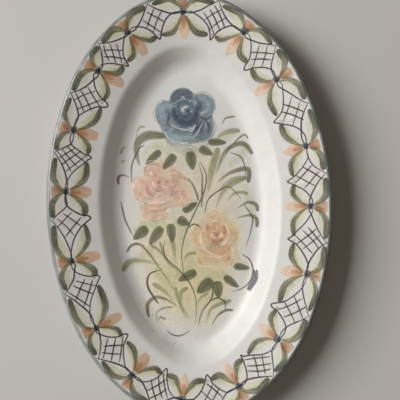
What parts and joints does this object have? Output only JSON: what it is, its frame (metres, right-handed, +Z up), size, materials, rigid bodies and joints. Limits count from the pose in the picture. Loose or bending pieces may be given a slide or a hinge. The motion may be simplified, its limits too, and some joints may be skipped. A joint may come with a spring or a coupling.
{
  "type": "oval serving plate",
  "caption": "Oval glazed ceramic plate with a wide sloping flange, a flat-floored well, a low foot ring and a hand painted floral bouquet and lattice rim.",
  "frame": {"origin": "centre of the foot ring's underside plane, which is the bottom centre of the bounding box", "axes": "+Y along the plate's length, +X across its width, +Z up out of the well; the blue rose is towards +Y"},
  "size_m": [0.201, 0.301, 0.0271],
  "materials": {
    "clay_body": "bare biscuit-fired buff clay, hidden under the glaze except at the foot",
    "foot_ring": "bare unglazed clay, slightly grainy and worn where it rubs the table",
    "front_glaze": "warm white glossy glaze",
    "back_glaze": "warm white glossy glaze, a little thinner",
    "base_glaze": "warm white glossy glaze, a little thinner",
    "lip_band": "thin blue-green-grey colour wiped along the lip, glossy",
    "rim_washes": "pale green wash under gloss glaze",
    "rim_loops": "dark olive comma strokes under gloss glaze",
    "rim_buds": "orange and peach buds under gloss glaze",
    "rim_lattice": "fine brown-black brush lines under gloss glaze",
    "rim_knots": "blue-black dabs under gloss glaze",
    "bouquet_ground": "faint green tint under gloss glaze",
    "blue_rose": "slate blue petals with white streaks under gloss glaze",
    "pink_rose": "pink and peach petals under gloss glaze",
    "peach_rose": "peach and apricot petals under gloss glaze",
    "leaves": "dark green leaves under gloss glaze",
    "grass_strokes": "olive and pale green grass strokes under gloss glaze",
    "liner_stems": "thin dark liner strokes under gloss glaze",
    "blue_smudge": "one blue-grey dab under gloss glaze"
  },
  "bodies": {
    "root": {"clay_body": "clay_body", "foot_ring": "foot_ring", "front_glaze": "front_glaze", "back_glaze": "back_glaze", "base_glaze": "base_glaze", "lip_band": "lip_band", "rim_washes": "rim_washes", "rim_loops": "rim_loops", "rim_buds": "rim_buds", "rim_lattice": "rim_lattice", "rim_knots": "rim_knots", "bouquet_ground": "bouquet_ground", "blue_rose": "blue_rose", "pink_rose": "pink_rose", "peach_rose": "peach_rose", "leaves": "leaves", "grass_strokes": "grass_strokes", "liner_stems": "liner_stems", "blue_smudge": "blue_smudge"}
  },
  "joints": []
}
